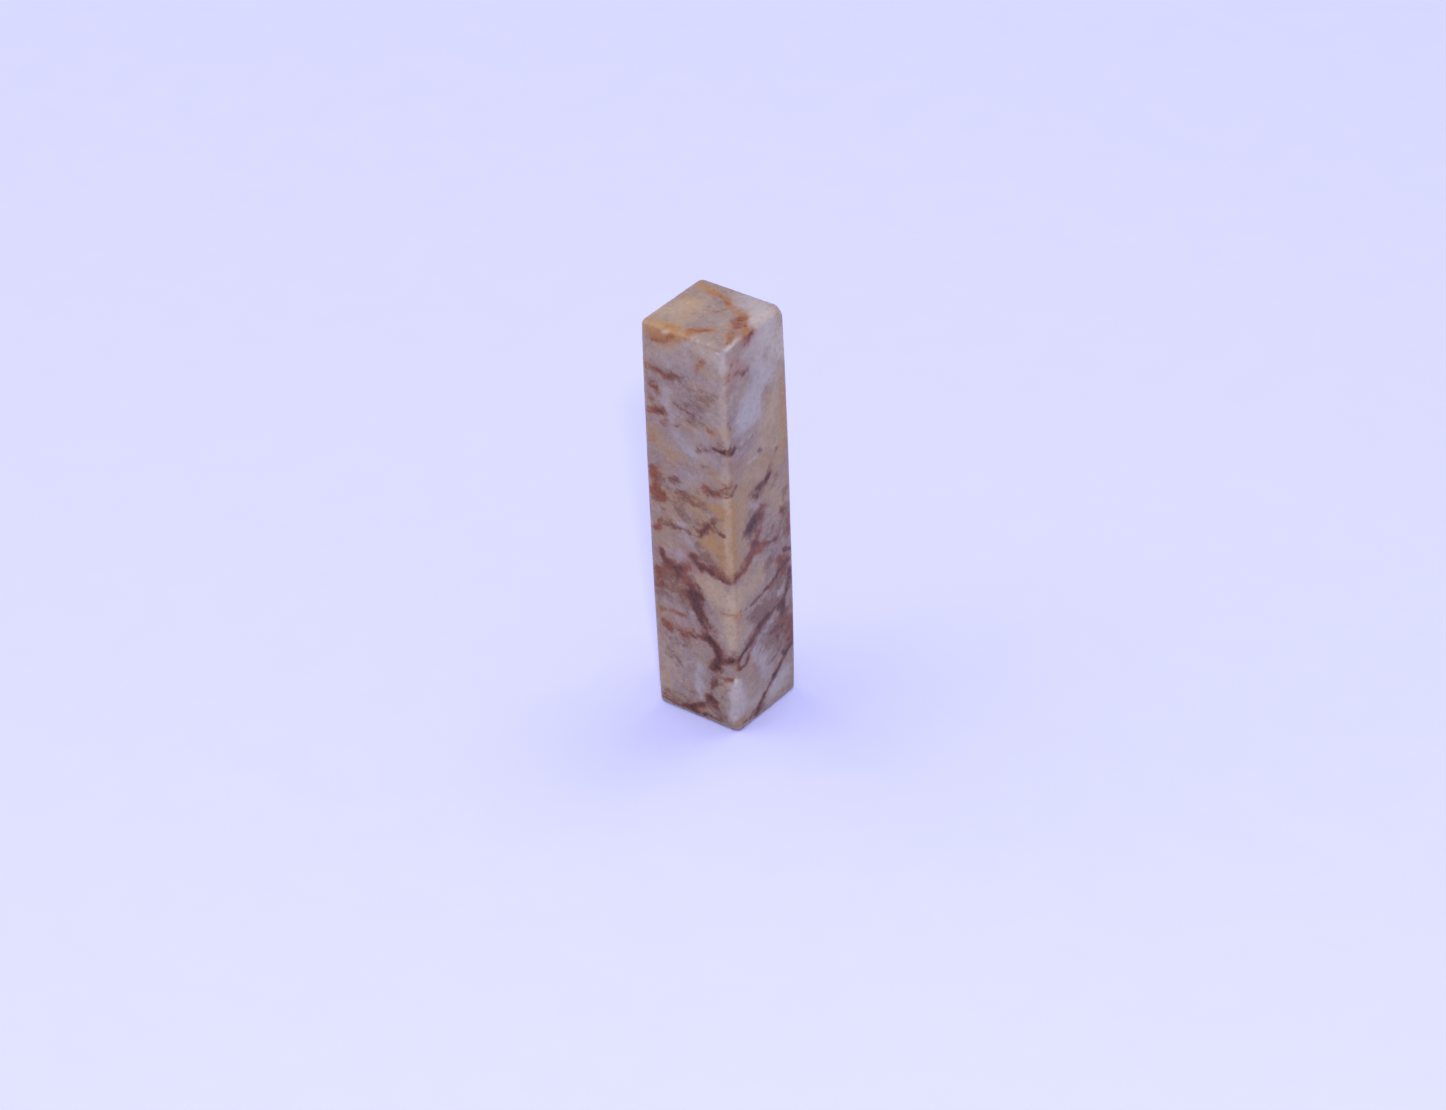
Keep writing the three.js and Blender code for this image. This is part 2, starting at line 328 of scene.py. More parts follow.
# The strokes of each pigment: how far a stroke spreads from its line in mm, its strength, then the points
# of its line. On a side they are mm from its left edge and mm above the foot. On the top they are mm from
# the left and mm back from the front.
frontVeins = {
    "warm": [
        (1.8, 0.35, (1, 50.6), (4.6, 50.6)), (1.4, 0.5, (8, 49.6), (9, 48.2)),
        (1.2, 0.45, (1, 46.2), (2.4, 45.8)), (1, 0.4, (6.2, 39.6), (7, 39.9)),
        (1.4, 0.55, (9.8, 40.2), (11.6, 40.6)), (1.4, 0.5, (9.2, 44.2), (10.6, 44.2)),
        (1.9, 0.6, (1.6, 37.4), (3.6, 35.4)), (1.8, 0.4, (9, 35.4), (11.4, 34.6)),
        (3, 0.75, (2.6, 29.4), (6.5, 29.4), (10, 29.6)), (2.6, 0.75, (7.8, 25.6), (10.8, 24.6)),
        (2, 0.55, (1.6, 22.8), (3.4, 26.4)), (2.2, 0.55, (2, 18.5), (5.5, 17)),
        (1.6, 0.5, (2, 12.5), (5.4, 11.5)), (1.5, 0.5, (1, 7), (1.6, 3.8)),
        (1.2, 0.4, (9.6, 5.6), (10.6, 6.8)), (1.2, 0.35, (2, 1.6), (7, 1.4)),
    ],
    "cream": [
        (2, 0.7, (8.4, 18.4), (11.8, 18.8)), (1.3, 0.5, (7, 19.6), (9.4, 20)),
        # The stroke at x 11.8 to 11.9 from 31.4 to 22 mm up and the one at x 11.4 to 11.8 from 17 to 13 mm
        # up paint a sheen on the near upright edge.
        (1.3, 0.55, (10.6, 15.4), (11.4, 12)), (0.7, 0.7, (11.8, 31.4), (11.9, 22)),
        (1, 0.5, (11.4, 17), (11.8, 13)), (1.4, 0.3, (3.6, 36.4), (6.4, 35.4)),
        (2, 0.4, (1.6, 8.6), (2, 3.6)), (1.4, 0.5, (7, 50.4), (11.6, 50.2)),
        (2, 0.3, (1.4, 48.4), (6, 48.6)),
    ],
    "milk": [
        # The short stroke at x 11.6, from 49 to 50.6 mm up, is a painted highlight at the near top corner.
        (1.4, 0.3, (7, 50.3), (10, 50.2), (11.6, 50)), (0.8, 0.7, (11.6, 50.6), (11.6, 49)),
        (1.6, 0.3, (3, 48.2), (6.6, 47.6)), (0.9, 0.6, (3.5, 41.9), (3.8, 44)),
        (0.7, 0.4, (4.3, 40.3), (4.9, 40.9)), (1.2, 0.5, (4.6, 38.4), (6.2, 37.4)),
        (1, 0.35, (7.6, 38.9), (9, 39.4)), (1, 0.4, (7.4, 36.6), (10.4, 36.8)),
        (1.4, 0.35, (5.8, 33), (8, 33.6)), (0.5, 0.65, (3.2, 31), (5.6, 31.5)),
        (0.8, 0.4, (9.4, 31.4), (11.8, 31.7)), (0.7, 0.55, (8.8, 28.9), (9.6, 28.9)),
        (0.4, 0.6, (4.6, 26.4), (6.8, 26.8)), (1.2, 0.45, (5.6, 24.8), (6.4, 23.6)),
        (0.7, 0.75, (4.2, 21.1), (4.5, 22.3)), (0.9, 0.3, (2.2, 15), (4.4, 14.8)),
        (0.8, 0.55, (3.5, 12.8), (4.8, 12.7)), (1, 0.35, (8.6, 14.6), (9.2, 13.2)),
        (0.8, 0.65, (6.6, 7.4), (6.7, 5.2)), (0.6, 0.75, (6.4, 4.2), (6.9, 3)),
        # The stroke at x 11.3 to 11.7, from 2.4 to 6.4 mm up, is a painted sheen on the near upright edge.
        (0.6, 0.35, (10.4, 9.1), (11, 8.9)), (0.9, 0.9, (11.7, 6.4), (11.3, 2.4)),
        (1, 0.3, (2.4, 10.4), (3.6, 10)),
    ],
    "frostAndSheen": [
        (1.8, 0.25, (8, 50.2), (11.4, 49.6)), (1.8, 0.15, (1.4, 48.6), (7, 48.6)),
        # The three thin strokes at x 11.4 to 11.5, down the near upright edge, are a painted sheen on its
        # rounding.
        (2, 0.1, (10.2, 46), (11.2, 42.4)), (0.42, 0.3, (11.5, 49.5), (11.5, 21.6)),
        (0.5, 0.3, (11.5, 20), (11.5, 11.4)), (0.45, 0.3, (11.5, 5.8), (11.4, 1.6)),
        (2, 0.15, (1.8, 8.6), (2.2, 3.8)),
    ],
    "ochre": [
        (0.7, 0.45, (8, 49.8), (8.9, 48.8)), (0.9, 0.35, (0.9, 51), (2.2, 50.4)),
        (0.7, 0.35, (3, 49), (5, 49.6)), (0.5, 0.6, (0.9, 46.5), (2, 46.4)),
        (0.9, 0.45, (9.8, 40.2), (11.6, 40.6)), (0.5, 0.4, (6.2, 39.6), (6.8, 39.8)),
        (1, 0.45, (1.6, 37.2), (2.4, 36.4)), (0.6, 0.4, (3.8, 35.8), (4.3, 34.4)),
        (0.6, 0.45, (5.2, 35.4), (6, 35.2)), (0.6, 0.5, (9.6, 35.2), (10.6, 35.2)),
        (1.4, 0.4, (5, 29.8), (8.4, 29.4)), (1.1, 0.75, (10, 30.2), (11.6, 29.8)),
        (1.5, 0.75, (8.8, 25.4), (10.8, 24.6), (11.3, 22.8)), (1.3, 0.45, (7.6, 24.4), (9.4, 26)),
        (0.9, 0.4, (1.2, 22.8), (2.8, 22.6)), (0.8, 0.45, (9.8, 16.2), (11.8, 16.2)),
        (0.8, 0.45, (1.2, 5.2), (2.2, 3.8)), (0.5, 0.5, (5.7, 13.2), (5.9, 12.6)),
        (1.1, 0.55, (1.6, 50.6), (5.4, 51)),
    ],
    "rose": [
        (1.6, 0.3, (1.6, 8.6), (3.8, 7.4)), (2.4, 0.45, (2, 20.6), (6.8, 19.8)),
        (2, 0.4, (5.6, 23.6), (8.6, 22.6)), (2.2, 0.4, (1.8, 12.6), (7, 12.4)),
    ],
    "brown": [
        (0.6, 0.4, (11, 9.4), (11.8, 8.8)), (1.8, 0.34, (5.6, 42.2), (8, 43.2)),
        (0.9, 0.36, (9.2, 44.1), (10.4, 44.4)), (1.2, 0.3, (4.6, 45), (8, 44.8)),
        (0.8, 0.35, (6.4, 40.6), (8.4, 41)), (0.6, 0.4, (8, 37.5), (9.6, 37.9)),
        (1.2, 0.35, (3.8, 28.8), (4.8, 28.6)), (1.5, 0.4, (6.2, 30.2), (8.2, 29.6)),
        (1.3, 0.4, (3, 30), (5.4, 30.4)), (0.8, 0.5, (2.4, 27.2), (3.6, 26)),
        (1, 0.45, (4.4, 27.6), (7, 27)), (0.8, 0.5, (7, 24.8), (7.2, 23.8)),
        (1, 0.65, (6.8, 22.6), (8.6, 22.6)), (1.1, 0.42, (8, 23.6), (9.8, 22.4)),
        (1.2, 0.22, (10.2, 28.8), (10.4, 24.4)), (1.6, 0.75, (2.6, 19), (5.4, 18.4)),
        (1.6, 0.65, (1.6, 16.6), (5.2, 16.4)), (0.7, 0.5, (7.6, 17), (8.6, 16.4)),
        (0.7, 0.4, (5.2, 14.6), (5.8, 14)), (1, 0.45, (3.6, 11.4), (5.4, 11.2)),
        (1, 0.3, (2, 10), (4.6, 9.6)), (0.8, 0.5, (2.2, 7.8), (3.9, 6.9)),
        (0.9, 0.6, (8.4, 6.2), (9.6, 6.4)), (0.8, 0.4, (5.2, 3), (5.9, 3.4)),
        (0.9, 0.6, (1.4, 1.6), (4.6, 1.5)), (0.9, 0.6, (8.6, 2.4), (9.4, 1.2)),
        (0.6, 0.6, (1, 32.8), (1.8, 32.4)), (0.6, 0.5, (1.4, 46), (3.4, 46), (6.4, 46.2)),
        (0.5, 0.7, (2.4, 31.6), (3.6, 31.8), (4.8, 32.2)),
    ],
    "orange": [
        (0.7, 0.9, (2.3, 50), (3.4, 50.2), (4.6, 50.7)), (0.5, 0.3, (1, 50.9), (2.2, 50.5)),
        (0.35, 0.6, (5.7, 50.4), (6.2, 51), (7, 51.3)), (0.6, 0.55, (7.7, 47.6), (8.4, 48.3), (9.3, 48.9)),
        (0.4, 0.4, (1, 45.9), (2.2, 45.9)), (0.5, 0.6, (1.5, 36.6), (2, 36.5)),
        (1, 0.8, (1.3, 31.6), (1.4, 29.6), (2.2, 28.9)), (0.5, 0.45, (1, 19.2), (1.5, 17.6)),
        (0.6, 0.5, (1.6, 11.9), (2.4, 11.6)), (0.5, 0.4, (1.2, 16.4), (1.4, 9.4)),
        (0.45, 0.6, (1, 13.3), (2.4, 13.7), (3.6, 13.7)), (0.35, 0.5, (10.5, 7.2), (11.2, 7.4)),
    ],
    "rust": [
        (0.4, 0.45, (2.2, 49.8), (3.1, 50)), (0.35, 0.4, (3.9, 50.5), (4.6, 50.7)),
        (0.5, 0.5, (7.7, 47.4), (8.4, 48.1), (9, 48.8)), (0.45, 0.45, (1, 45.8), (2.4, 45.9), (4.4, 45.6)),
        (0.7, 0.65, (1.9, 44.4), (2.2, 43)), (0.5, 0.5, (1.1, 42.4), (1.4, 41.6)),
        (0.55, 0.85, (1.1, 40.2), (2, 40.4), (2.8, 40.7)), (0.5, 0.36, (3.1, 39.1), (3.5, 39.5)),
        (0.4, 0.26, (4.9, 39.2), (5.4, 39.5)), (0.35, 0.45, (9.5, 40.4), (10.1, 40.6)),
        (0.35, 0.6, (5.5, 34.4), (6.2, 34.6)), (1, 1, (1.2, 32.2), (1.5, 30.8), (1.7, 29)),
        (1.2, 1, (1.4, 28.8), (2.4, 29.3)), (0.85, 0.72, (9, 32.3), (10.4, 32.7), (11.8, 33.2)),
        (1, 0.35, (6.4, 30.2), (7.8, 29.8)), (0.4, 0.5, (4.6, 30.5), (5.3, 30.7)),
        (0.55, 0.85, (7.2, 25.8), (8.2, 26.8), (9.2, 27.7), (9.6, 28.3)),
        (0.4, 0.5, (10, 27.5), (10.8, 27)), (0.5, 0.7, (1.3, 24.5), (1.8, 25.1), (2.1, 25.8)),
        (0.65, 0.8, (6.4, 22.6), (7.4, 21.8), (9, 21.4), (12, 20.7)),
        (0.6, 0.7, (1.9, 21.5), (2.3, 20.5), (3.7, 20.1), (5.6, 20.8)),
        (1.1, 0.25, (2.6, 19.2), (5.6, 18.4)), (0.5, 0.65, (1.2, 19.2), (1.5, 17.4)),
        (1, 0.25, (1.6, 16.8), (5.2, 16.4)), (0.8, 0.6, (6.2, 17.4), (6.8, 14.2)),
        (0.25, 0.55, (8.4, 15.9), (10, 16), (12, 16.3)),
        (0.4, 0.6, (1.3, 13.7), (3, 13.6), (4.8, 13.8), (5.8, 13.3), (5.9, 12.4)),
        (0.4, 0.65, (2.4, 11.5), (4, 11.3), (5.6, 11.5), (8, 12.1)), (0.6, 0.85, (1.7, 11.9), (2.3, 11.6)),
        (0.7, 0.5, (8.4, 12), (9.3, 10.6), (9.2, 8.6)), (0.35, 0.85, (10.4, 7.2), (11.1, 7.5)),
        (0.3, 0.75, (10.4, 5.6), (10.8, 5.8)), (0.3, 0.5, (9.5, 4.1), (9.8, 4.3)),
        (0.5, 0.45, (1.2, 1.8), (2.6, 2)), (0.6, 0.5, (7.8, 3.6), (8.4, 2.6), (6, 1.6)),
    ],
    "plum": [
        (0.22, 0.38, (1.6, 46.1), (3, 46.1), (4.2, 46), (5.6, 46.1)),
        (0.35, 0.4, (1.9, 44.2), (2.2, 43.4)), (0.35, 0.65, (1.9, 40.4), (2.7, 40.6)),
        (0.25, 0.25, (4.9, 39.2), (5.4, 39.5)), (0.25, 0.4, (5.6, 41.8), (7.2, 41.6)),
        (0.25, 0.35, (6.2, 42.6), (8.4, 42.9)), (0.25, 0.35, (4.4, 42.2), (5.4, 41.8)),
        (0.25, 0.35, (6.2, 40.6), (7.6, 40.2)), (0.2, 0.32, (7.4, 37.2), (8.4, 37.5), (9.4, 37.9)),
        (0.4, 1, (10, 38.1), (11, 38), (12, 38.3)), (0.25, 0.4, (8.4, 35.5), (9, 35.7)),
        (0.3, 0.5, (5.5, 34.4), (6.2, 34.6)), (0.25, 0.5, (2.4, 31.6), (3.6, 31.8), (4.8, 32.2)),
        (0.3, 0.5, (4.7, 30.5), (5.2, 30.7)),
        (0.35, 0.4, (8.5, 31.6), (9.2, 32.3), (10.6, 32.7), (11.9, 33.2)),
        (0.25, 0.5, (4.9, 28.1), (5.5, 27.4), (6.4, 27.1), (7.2, 27.1)),
        (0.3, 0.5, (3.3, 26.5), (3.7, 25.9), (6, 25.6)),
        (0.35, 0.65, (6.3, 25.5), (7.3, 25.6), (8.1, 26.7), (8.9, 27.5), (9.4, 28.1)),
        (0.25, 0.65, (10.3, 26.8), (11, 26.8)), (0.45, 0.75, (6.2, 22.7), (6.7, 22), (7.5, 21.4)),
        (0.4, 0.75, (7.6, 21.4), (8.6, 21.5), (9.2, 21.3)),
        (0.3, 0.6, (9.2, 21.2), (10.4, 20.8), (12, 20.4)),
        (0.4, 0.65, (1.9, 21.5), (2.2, 20.7), (2.8, 20.2), (3.7, 20.1), (4.8, 20.3)),
        (0.4, 0.55, (4.1, 19.4), (3.8, 18.2)), (0.5, 0.75, (5.8, 17.5), (7.3, 17.3)),
        (0.8, 0.9, (6.2, 17.2), (6.4, 15.8), (6.8, 14.8), (7.1, 14.1)), (0.6, 0.6, (7.5, 16.8), (7.3, 15)),
        (0.3, 0.6, (7.3, 13.8), (7.8, 12.8), (8.1, 12.2)), (0.55, 1, (8, 12), (9, 11.5), (9.3, 11.1)),
        (0.5, 0.95, (9.4, 10.3), (9.3, 9.4), (9.1, 8.7)), (0.35, 0.8, (9.2, 8.4), (8.4, 8.1)),
        (0.35, 0.9, (10.7, 10.1), (11.3, 10.3), (12, 10.3)), (0.5, 0.9, (11.4, 10.3), (12, 10.1)),
        (0.25, 0.5, (9.6, 9.8), (10.6, 10)), (0.25, 0.4, (5.8, 11.7), (7, 11.9), (8, 12.1)),
        (0.35, 0.6, (8.9, 6.2), (8.4, 5.9)), (0.25, 0.5, (8.3, 5.6), (8, 4.8), (7.9, 3.9)),
        (0.5, 0.8, (7.9, 3.6), (8.2, 3), (8.6, 2.6)),
        (0.35, 0.7, (7.7, 2.7), (7, 2.2), (6.2, 1.8), (5.3, 1.4)), (0.35, 0.6, (4, 1.1), (5.6, 1.3)),
        # Darker along the foot: a thin dark line about 0.8 mm above the paper, across the front.
        (0.25, 0.6, (1, 0.9), (3, 0.8), (5, 0.8), (9.4, 0.8)),
    ],
    # Painted glints: small whitish highlights on the near upright edge, at the near top corner and on the
    # top front edge.
    "bruiseAndGlint": [
        (0.34, 0.6, (11.8, 50), (11.85, 49.2)), (0.16, 0.8, (10.9, 50.7), (11.2, 50.6)),
        (0.18, 0.7, (3.4, 51.3), (3.8, 51.3)), (0.28, 1, (11.55, 7.4), (11.6, 6.6)),
    ],
}

rightVeins = {
    "warm": [
        (2.2, 0.8, (10.2, 43), (10.6, 34)), (2.6, 0.7, (8.6, 40.4), (8, 36.6), (5.4, 33.8), (2.6, 32)),
        (2.4, 0.75, (1, 30.6), (1.2, 25)), (2.2, 0.5, (7.2, 33.4), (9.8, 30)),
        (2.2, 0.75, (7, 29.4), (9.2, 27)), (2, 0.4, (3.4, 21.8), (7.6, 24.4)),
        (2.2, 0.5, (2, 18.8), (5, 18.8)), (1.6, 0.5, (1.2, 15.8), (1.6, 13)),
        (1.4, 0.6, (8.8, 11), (10.4, 8)), (1.4, 0.35, (2.6, 7.4), (3.4, 4.8)),
        (0.8, 0.3, (0.6, 1.6), (3, 1.3)),
    ],
    "cream": [
        (1.6, 0.35, (8.4, 29.6), (9.4, 27)), (2.4, 0.75, (7.6, 50.2), (10.4, 47.2)),
        (1.4, 0.5, (7, 38.6), (8.8, 40.6)), (1.3, 0.4, (6, 36.6), (8.4, 35)),
        (1, 0.5, (3, 33.4), (6, 32.4)), (0.9, 0.5, (2.4, 30.8), (2.4, 25.4)),
        (1.8, 0.55, (1.4, 18.4), (4.8, 19)), (1, 0.5, (1.2, 14.4), (2.6, 12.8)),
        (1.2, 0.3, (2.2, 5.8), (3.6, 4.6)), (2, 0.35, (1, 48.6), (4.6, 48.8)),
    ],
    "milk": [
        (2.6, 0.5, (7.6, 49.6), (10.2, 46.4)), (1.6, 0.4, (4, 48.8), (6.4, 49.2)),
        (1.5, 0.85, (3, 40), (4.4, 41.4)), (2, 0.85, (4.6, 42.4), (6.6, 45)),
        (1.2, 0.5, (2.4, 41.4), (4.4, 44.6)), (1.3, 0.4, (8.2, 44), (9, 42.4)),
        (0.3, 0.6, (3.4, 34.8), (5.2, 35.2), (7, 36)), (0.4, 0.5, (2.6, 38), (4.2, 38.4)),
        (0.7, 0.75, (3.7, 29.5), (4.9, 28.8)), (0.9, 0.35, (6.2, 25.2), (7.4, 24.4)),
        (1, 0.35, (4.4, 21.6), (6.2, 21)), (1, 0.5, (6.4, 16.2), (8.2, 15.2)),
        (0.9, 0.4, (1.4, 12.4), (2.6, 12.4)), (1.2, 0.75, (3.6, 9.8), (4.6, 8)),
        (0.9, 0.65, (5.2, 11.4), (6.6, 11.8)), (1.4, 0.5, (5, 6.6), (6.2, 5.2)),
        (1.4, 0.75, (6.8, 2.4), (9.2, 3.6)), (0.9, 0.8, (0.5, 7), (0.7, 3.2)),
        (1, 0.55, (1.6, 3.2), (3.6, 2.6)),
    ],
    "frostAndSheen": [
        (2.4, 0.35, (9, 50.2), (10.4, 46.6)), (1.8, 0.2, (6.4, 49.6), (8.4, 46.4)),
        (2.6, 0.12, (9.4, 45), (9.4, 36)), (2.2, 0.12, (2, 48.4), (2.6, 44), (6.4, 39.6), (4, 36)),
        (1.8, 0.12, (8.4, 29), (9.4, 26.4)), (1.4, 0.2, (0.6, 6), (2.4, 2.4), (9, 1.8)),
    ],
    "ochre": [
        (0.9, 0.75, (10.5, 42.6), (10.7, 37), (10.3, 34.4)), (0.4, 0.5, (0.2, 45), (0.8, 45.2)),
        (1.1, 0.5, (0.5, 31.2), (0.6, 24.4)), (1.2, 0.35, (6.4, 34), (8.6, 33.4)),
        (1.2, 0.35, (2.6, 32), (3, 29.6)), (0.6, 0.45, (10.6, 33), (10.9, 29)),
        (0.5, 0.4, (1.8, 8.2), (2.8, 9.4)), (0.4, 0.5, (10.4, 5), (10.6, 2)),
    ],
    "rose": [
        (1, 0.7, (1.2, 49.6), (2.4, 48.8)), (1, 0.7, (0.6, 47.4), (2.6, 47.3)),
        (0.6, 0.6, (0.5, 45.7), (1.8, 46)), (1, 0.75, (4.2, 50.4), (5.8, 50.9)),
        (1.2, 0.5, (0.5, 36.4), (2.4, 35)), (1.2, 0.25, (3.6, 47.4), (5.4, 48.2)),
        (1, 0.4, (3, 23.4), (5.8, 22.6)),
    ],
    "brown": [
        (0.4, 0.6, (0.5, 41.9), (0.6, 41.2)), (0.6, 0.3, (1.4, 37.6), (5, 37.7)),
        (0.5, 0.5, (3.6, 46.8), (4.2, 46.9)), (1, 0.4, (4.2, 30.6), (6.8, 30.4)),
        (1, 0.5, (7.4, 32), (8.4, 30.4)), (0.6, 0.35, (5.6, 28.5), (7, 27.8)),
        (0.8, 0.6, (10, 28), (10.4, 22.6)), (1.3, 0.5, (6.6, 24.6), (8.4, 23.6)),
        (1.8, 0.6, (7.2, 20.6), (8, 18)), (1.2, 0.8, (4.4, 14), (7.4, 14.2)),
        (2, 0.45, (4.6, 14.6), (7.6, 15)), (0.6, 0.55, (3.6, 14.6), (5, 15.2)),
        (1.1, 0.65, (7.6, 16.8), (10, 16.6)), (1.5, 0.85, (8.2, 10.6), (10.4, 9)),
        (0.9, 0.75, (7.8, 7.4), (10.4, 7.2)), (0.6, 0.5, (2.8, 1.1), (4.8, 1.2)),
        # The first stroke of this line darkens a line along the foot, about 1 mm above the paper.
        (0.4, 0.3, (5, 1), (10.4, 1)), (2.2, 0.4, (3.6, 11.4), (6.6, 9.8), (9.6, 12.4)),
    ],
    "orange": [
        (0.7, 0.7, (0.3, 16.2), (1.2, 15.8)), (0.5, 0.6, (0.2, 1.5), (1, 1.5)),
        (0.4, 0.4, (8.8, 34.4), (9.4, 34.8)),
    ],
    "rust": [
        (0.5, 0.8, (4.2, 50.3), (5.2, 50.9), (5.8, 51.2)), (0.4, 0.4, (1.6, 48.9), (2.6, 48.9)),
        (0.4, 0.45, (0.8, 47.4), (3, 47.1)), (0.4, 0.6, (8.7, 34.5), (9.2, 34.4)),
        (0.4, 0.3, (8, 32.6), (8.6, 34)), (0.7, 0.8, (4.6, 27.6), (5.2, 27.2)),
        (0.8, 0.75, (4, 26), (5, 25)), (0.3, 0.3, (5.3, 28.6), (7, 27.7)),
        (0.65, 0.9, (0, 20.7), (1.5, 21.5), (2.8, 22.2), (3.7, 22.8)),
        (0.5, 0.8, (3.7, 24.2), (4.7, 23.9), (5.6, 23.4), (6.6, 23), (7.8, 22.7)),
        (0.6, 0.6, (5, 22.7), (6.6, 22.6)), (0.6, 0.4, (2.4, 22.8), (4.6, 23.2)),
        (0.5, 0.6, (9.4, 25.8), (9.8, 25.4)), (0.5, 0.6, (10.6, 24.4), (10.7, 22.8)),
        (0.9, 0.95, (8.7, 19.3), (9.8, 18.4)),
        (0.25, 0.5, (1.4, 16.3), (3.2, 16.4), (5.2, 16.7), (8, 17.2)),
        (0.4, 0.4, (2.4, 11.2), (4.4, 12.4), (6, 13)),
        (0.4, 0.8, (0.2, 9.3), (0.9, 8.8), (1.8, 8.9), (2.5, 9.9), (3.3, 10.9)),
        (0.8, 0.65, (9.2, 11.2), (10.6, 9.4), (10.4, 7.8)), (0.25, 0.6, (7.3, 5.3), (7.5, 5.1)),
        (0.4, 0.4, (3.8, 1.4), (5, 2.2)), (0.45, 0.6, (0, 9.8), (0.2, 8.8)),
    ],
    "plum": [
        (0.3, 0.5, (3.4, 46.7), (4.1, 46.9)), (0.25, 0.5, (4.9, 50.9), (5.4, 51.1)),
        (0.4, 1, (0, 38.3), (0.6, 38), (1.2, 38.1)), (0.25, 0.4, (3.8, 37.8), (4.6, 38)),
        (0.25, 0.5, (5.3, 35.8), (6.1, 35.4)), (0.35, 0.45, (0.3, 33.1), (1.1, 33.2)),
        (0.4, 0.9, (5.2, 31), (6.2, 31.2), (7.4, 31.5)), (0.35, 0.65, (4.3, 30.4), (5.1, 30)),
        (1.15, 1, (3.9, 26.4), (4.2, 27.3)), (0.35, 0.5, (9.3, 25.9), (9.8, 25.5)),
        (0.25, 0.6, (0, 20.8), (1, 21.2), (2.4, 21.8), (3.4, 22.5)),
        (0.3, 0.7, (3.8, 24.2), (4.8, 23.9), (5.4, 23.5)), (0.3, 0.75, (6.6, 22.9), (7.9, 22.6)),
        (0.35, 0.5, (8.9, 18.9), (9.8, 18.4)), (0.35, 0.75, (9.6, 20.3), (10.9, 19.8)),
        (0.3, 0.5, (8, 19.9), (8.5, 19.6)), (0.22, 0.55, (2.4, 16.3), (3.6, 16.4), (5.2, 16.7), (8, 17.3)),
        (0.3, 0.7, (8, 17.3), (9.4, 18), (10.8, 18.4)),
        (0.3, 0.9, (0, 10.4), (1.2, 10.7), (2.4, 10.9), (3.2, 11.2), (4.2, 12.2)),
        (0.5, 0.8, (0, 10.2), (0.6, 10.4)), (0.4, 0.95, (4.2, 12.3), (5.2, 12.8), (6, 13)),
        (0.35, 0.85, (6, 13), (7.2, 13.3), (8.4, 13.3)), (0.55, 0.95, (8.4, 13.2), (9.2, 13), (9, 12.2)),
        (0.5, 0.85, (9, 13.6), (9.8, 14.8), (10.5, 16), (10.6, 17.2)),
        (0.3, 0.7, (0.3, 9.1), (1, 8.8), (1.8, 8.9), (2.2, 9.6)), (0.3, 0.75, (7.4, 10.9), (8.6, 10.4)),
        (0.25, 0.6, (6.4, 10.3), (7.2, 10.5)), (0.3, 0.65, (7.6, 9.4), (8.2, 8.4)),
        (0.3, 0.5, (8.4, 9.6), (9.6, 9)), (0.3, 0.55, (9.2, 8), (10.8, 7.4)),
        (0.25, 0.5, (6.2, 6.6), (7.1, 6.9)), (0.3, 0.9, (8.7, 6.7), (9, 6.3)),
        (0.35, 1, (11.4, 6.7), (10.4, 6.5), (9.4, 6.1), (8.4, 5.4), (7.2, 4.4)),
        (0.35, 0.85, (7.2, 4.4), (6.2, 3.5), (5.2, 2.6)), (0.35, 0.85, (5.2, 2.6), (4.5, 1.9), (3.6, 1.2)),
        # Darker along the foot: a thin dark line about 0.9 mm above the paper.
        (0.25, 0.5, (0.5, 0.9), (4.6, 0.9)),
    ],
    # A painted glint: a whitish highlight along the near end of the right top edge.
    "bruiseAndGlint": [
        (0.34, 1, (0.4, 51.15), (1.6, 51.25), (3, 51.3)),
    ],
}

